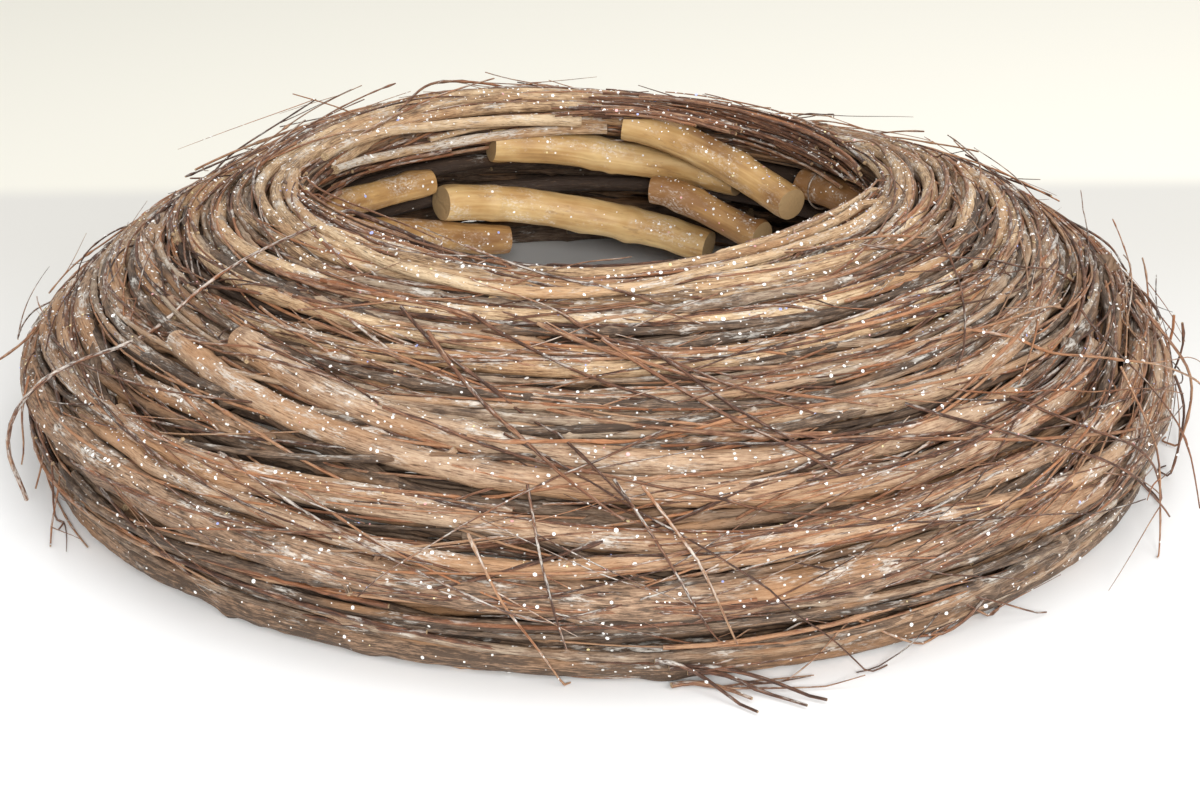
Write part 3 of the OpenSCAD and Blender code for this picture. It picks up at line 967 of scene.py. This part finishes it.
# Brown twigs that hang from the rim over the leaning cane at the back right
for _ in range(70):
    first, last = rng.uniform(5, 45), rng.uniform(55, 92)
    rise = rng.uniform(0, 1)
    heights = np.array((74, 77, 83)) * MM * (1 - rise) + np.array((86, 87.5, 88.5)) * MM * rise
    radius = rng.uniform(95, 103) * MM
    rad = rng.uniform(0.4, 0.9) * MM
    wall_strand(lip_twigs, rng, first, last, radius, heights, rad, rng.uniform(0, 0.7), rng.uniform(0, 0.8))
for _ in range(26):
    first, last = rng.uniform(48, 68), rng.uniform(84, 100)
    heights = np.array((rng.uniform(81, 84), rng.uniform(83, 86), rng.uniform(81, 87))) * MM
    radius, rad = rng.uniform(86, 90) * MM, rng.uniform(0.4, 0.8) * MM
    wall_strand(lip_twigs, rng, first, last, radius, heights, rad, rng.uniform(0, 0.7), rng.uniform(0, 0.8))
# The honey-coloured rod that lies along the front of the rim, bowed outward in the middle
rng = dice("honey rod")
radii = (103 + 17 * bell(np.linspace(178, 342, 20), 262, 19)) * MM
heights = np.array((86, 88.5, 88.5, 88.5, 87)) * MM
wall_strand(lip_switches, rng, 178, 342, radii, heights, 2.0 * MM, 0.8, 0.5, 18)
perches += lip_twigs.skins[::2] + lip_switches.skins
lip_twigs.build(TWIG_BARK, "twig")
lip_switches.build(RIM_BARK, "rim_bark")

# ---------------------------------------------------------------- stray twigs

strays = Strands("loose_twigs")
rng = dice("loose twigs")
for _ in range(60):
    start = rng.uniform(0, TURN), rng.uniform(30, 150) * MM
    slope = rng.normal(0, 0.3)
    course, run = twig_course(rng, *start, rng.uniform(0.04, 0.15), slope, rng.choice((-1, 1)), 0.12)
    proud = lying(course, run, 0.5 * MM) + np.linspace(0, 1, len(course)) ** 2.2 * rng.uniform(3, 12) * MM
    rad = rng.uniform(0.25, 0.5) * MM
    tone, frost, side_twigs = rng.uniform(0, 1), rng.uniform(0, 1.3), rng.integers(0, 3)
    add_twig(strays, rng, course, run, proud, rad, tone, frost, 5, side_twigs)

# Groups of loose twigs that the eye picks out: number, angles where they start in degrees, how far along
# they start in mm, headings in degrees (0 runs round the ring, -90 down to the foot), lengths in mm, how far
# the start and the end stand off in mm, thicknesses in mm, and frost
TWIG_GROUPS = (
    # The long frosted one at the left, and those that hang off beside it
    (1, (205, 210), (20, 24), (80, 86), (140, 150), 18, 0, (1.5, 1.5), 1.8),
    (5, (185, 222), (35, 60), (-80, -20), (30, 70), 0, 14, (0.8, 1.1), 0.5),
    # Those that fall from the rim across the front, and the nearly level ones below them
    (7, (236, 282), (122, 146), (-50, -28), (70, 120), 2, 2, (1.1, 1.5), 0.5),
    (3, (235, 260), (85, 105), (-20, -5), (120, 170), 1, 2, (1.0, 1.3), 0.2),
    (4, (255, 275), (60, 85), (-80, -35), (40, 70), 1, 3, (0.9, 1.1), 1.4),
    # The tuft on the table in front, and the curls beside it
    (4, (274, 280), (15, 24), (-30, 20), (25, 45), 3, 20, (1.2, 1.7), 0.8),
    (3, (285, 300), (26, 42), (-40, -15), (60, 100), 0, 10, (0.8, 1.0), 0.6),
    # The long ones across the right, and those that stand off at the far right
    (3, (294, 322), (70, 110), (-45, -30), (90, 140), 0, 14, (1.0, 1.1), 0.5),
    (6, (325, 372), (46, 96), (-110, -40), (50, 90), 6, 20, (0.8, 1.2), 0.4),
    (1, (124, 126), (130, 134), (-30, -20), (40, 50), 0, 14, (0.8, 0.8), 0.4),
)
rng = dice("picked twigs")
for number, starts, places, headings, lengths, root_off, tip_off, thickness, frost in TWIG_GROUPS:
    for _ in range(number):
        start = np.radians(rng.uniform(*starts)), rng.uniform(*places) * MM
        length, slope = rng.uniform(*lengths) * MM, np.radians(rng.uniform(*headings))
        course, run = twig_course(rng, *start, length, slope, 1, 0.1)
        share = np.linspace(0, 1, len(course))
        off = root_off * (1 - share) ** 2 + tip_off * share**2
        proud = lying(course, run, 0.5 * MM) + off * MM
        rad = 0.5 * rng.uniform(*thickness) * MM
        add_twig(strays, rng, course, run, proud, rad, rng.uniform(0, 1), frost, 7, rng.integers(0, 3), 0.55)
perches += strays.skins[-40:]
strays.build(TWIG_BARK, "twig", ["stray_twigs"])

# ---------------------------------------------------------------- glitter


GLITTER_COUNT = 11000


def scatter_glitter(name, number):
    """Thin hexagonal flakes that stick to the outer sides of rods, twigs and canes, most of them on top."""
    rng = dice(name)
    parts = ([skins[kind][2:-2].reshape(-1, 3) for skins in perches] for kind in range(3))
    spots, outs, even = (np.concatenate(part) for part in parts)
    pick = rng.choice(len(spots), min(len(spots), 12 * number), replace=False)
    spots, outs, even = spots[pick], outs[pick], even[pick]
    radius = np.hypot(even[:, 0], even[:, 1])
    along, proud = section.find(radius, even[:, 2])
    angle = np.arctan2(even[:, 1], even[:, 0])
    out = section.spot(angle, along, np.ones(len(angle))) - section.spot(angle, along, np.zeros(len(angle)))
    bare = (proud > skin.at(angle, along) - 0.8 * MM) & (np.sum(outs * out, axis=1) > 0.2)
    inside = (radius < 0.100) & (outs[:, 2] > -0.2)
    chance = 0.25 + 0.75 * np.clip(outs[:, 2], 0, 1)
    clear = spots[:, 2] > 1 * MM
    keep = np.flatnonzero((bare | inside) & clear & (rng.random(len(angle)) < chance))[:number]
    corners, faces, tones = [], [], []
    turn = np.arange(6) * TURN / 6
    for at in keep:
        up = outs[at] + rng.normal(0, 0.25, 3)
        up /= np.linalg.norm(up)
        side = np.cross(up, rng.normal(0, 1, 3))
        side /= np.linalg.norm(side)
        across = np.cross(up, side)
        size = (0.20 + 0.5 * rng.random() ** 3) * MM
        rim = (np.cos(turn)[:, None] * side + np.sin(turn)[:, None] * across) * size
        base = len(corners) * 12
        floor = spots[at] + up * 0.02 * MM
        corners.append(np.vstack([floor + rim, floor + rim + up * 0.12 * MM]))
        faces.append([base + 6 + i for i in range(6)])
        faces.append([base + i for i in range(5, -1, -1)])
        faces += [[base + i, base + (i + 1) % 6, base + 6 + (i + 1) % 6, base + 6 + i] for i in range(6)]
        tones += [rng.random()] * 12
    mesh = bpy.data.meshes.new(name)
    mesh.from_pydata(np.concatenate(corners).tolist(), [], faces)
    values = mesh.attributes.new("tone", "FLOAT", "POINT")
    values.data.foreach_set("value", np.array(tones, dtype=np.float32))
    mesh.materials.append(FOIL)
    piece = bpy.data.objects.new(name, mesh)
    bpy.context.scene.collection.objects.link(piece)
    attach(piece, "root")


scatter_glitter("glitter_flakes", GLITTER_COUNT)

# ---------------------------------------------------------------- stage, light and camera


def table_paint():
    """Cool white near the ring, darker towards the back, a painted pool of light under the ring, and a
    slightly warmer white further back, painted brighter to the right where more light falls.
    """
    s = Shader("table_white")
    place = s.tree.nodes.new("ShaderNodeTexCoord").outputs["Object"]
    parts = s.node("ShaderNodeSeparateXYZ", Vector=place)
    near = s.mix(s.step(parts.outputs["Y"], -0.15, 0.20), (0.84, 0.85, 0.86), (0.66, 0.65, 0.62))
    away = s.node("ShaderNodeVectorMath", Vector=place)
    away.operation = "LENGTH"
    # Painted pool of light: the table under the ring, within about 0.18 m of its middle, is painted brighter
    near = s.mix(s.step(away.outputs["Value"], 0.19, 0.18), near, (0.97, 0.965, 0.95))
    # Painted light on the back: darker to the left and brighter to the right, where more light falls
    back = s.mix(s.step(parts.outputs["X"], -0.5, 0.6), (0.79, 0.775, 0.70), (0.87, 0.85, 0.77))
    colour = s.mix(s.step(parts.outputs["Y"], 0.24, 0.27), near, back)
    return s.finish(colour, 0.6, None)


bpy.ops.mesh.primitive_plane_add(size=12, location=(0, 0, 0))
floor = bpy.context.object
floor.name = "floor"
floor.data.materials.append(table_paint())


def area_light(name, place, aim, size, watts, colour):
    """A round soft light at a place, turned to its aim."""
    data = bpy.data.lights.new(name, "AREA")
    data.shape = "DISK"
    data.size = size
    data.energy = watts
    data.color = colour
    lamp = bpy.data.objects.new(name, data)
    bpy.context.scene.collection.objects.link(lamp)
    lamp.location = place
    lamp.rotation_euler = (Vector(aim) - Vector(place)).to_track_quat("-Z", "Y").to_euler()


area_light("key", (0.95, -1.35, 0.92), (0, 0, 0.03), 1.2, 17, (1.0, 0.985, 0.96))
area_light("low", (0.1, -1.6, 0.70), (0, 0.15, 0.0), 0.35, 18, (1.0, 0.99, 0.97))
area_light("top", (0.2, 0.1, 1.9), (0, 0, 0), 1.6, 14, (1.0, 1.0, 1.0))
area_light("fill", (-1.4, -0.8, 0.9), (0, 0, 0.03), 1.2, 3, (0.97, 0.98, 1.0))
world = bpy.data.worlds.new("studio")
world.use_nodes = True
world.node_tree.nodes["Background"].inputs["Color"].default_value = (1.0, 0.99, 0.97, 1)
world.node_tree.nodes["Background"].inputs["Strength"].default_value = 0.62
bpy.context.scene.world = world
bpy.context.scene.view_settings.view_transform = "Standard"

CAMERA_TILT = math.radians(23.9)
CAMERA_AWAY = 0.730
CAMERA_AIM = (0.003, 0.0, 0.0004)
CAMERA_ROLL = math.radians(0.53)
CAMERA_LENS, CAMERA_SENSOR = 60.0, 36.0
lens = bpy.data.cameras.new("camera")
lens.lens = CAMERA_LENS
lens.sensor_width = CAMERA_SENSOR
camera = bpy.data.objects.new("camera", lens)
bpy.context.scene.collection.objects.link(camera)
camera.location = (
    CAMERA_AIM[0],
    CAMERA_AIM[1] - CAMERA_AWAY * math.cos(CAMERA_TILT),
    CAMERA_AIM[2] + CAMERA_AWAY * math.sin(CAMERA_TILT),
)
camera.rotation_euler = (math.pi / 2 - CAMERA_TILT, 0, 0)
camera.rotation_euler.rotate_axis("Z", -CAMERA_ROLL)
bpy.context.scene.camera = camera
